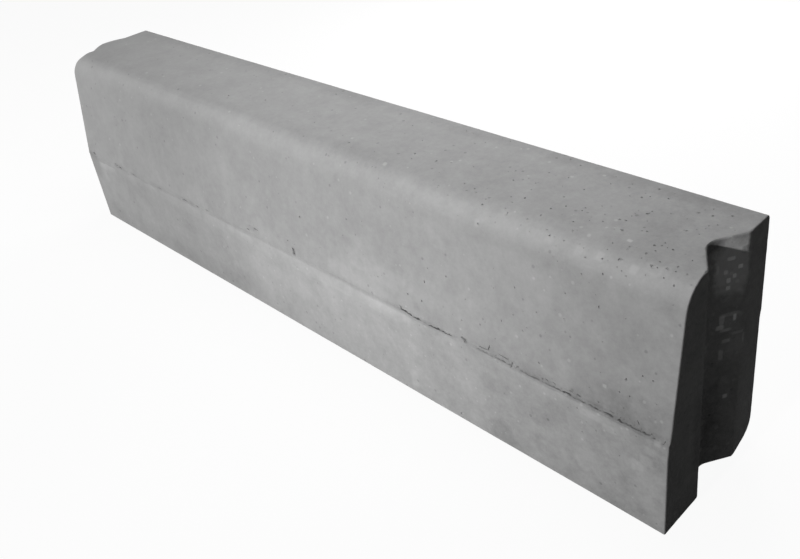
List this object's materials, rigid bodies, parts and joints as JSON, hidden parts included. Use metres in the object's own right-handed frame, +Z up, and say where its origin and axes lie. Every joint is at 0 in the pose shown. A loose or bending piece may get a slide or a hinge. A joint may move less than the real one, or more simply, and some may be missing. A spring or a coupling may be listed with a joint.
{
  "type": "concrete kerb stone",
  "caption": "Straight precast concrete road kerb with a battered, round-nosed face, a small ledge and tongue-and-groove ends.",
  "frame": {"origin": "on the base, midway over the overall length with the tongue, and midway across the width at the base", "axes": "+X along the stone towards the grooved end, +Y from the road face to the back, +Z up"},
  "size_m": [1.0088, 0.15, 0.25],
  "materials": {
    "concrete": "pressed grey concrete, matt, with a fine sandy grain and small pores"
  },
  "bodies": {
    "root": {"kerb_stone": "concrete"}
  },
  "joints": []
}
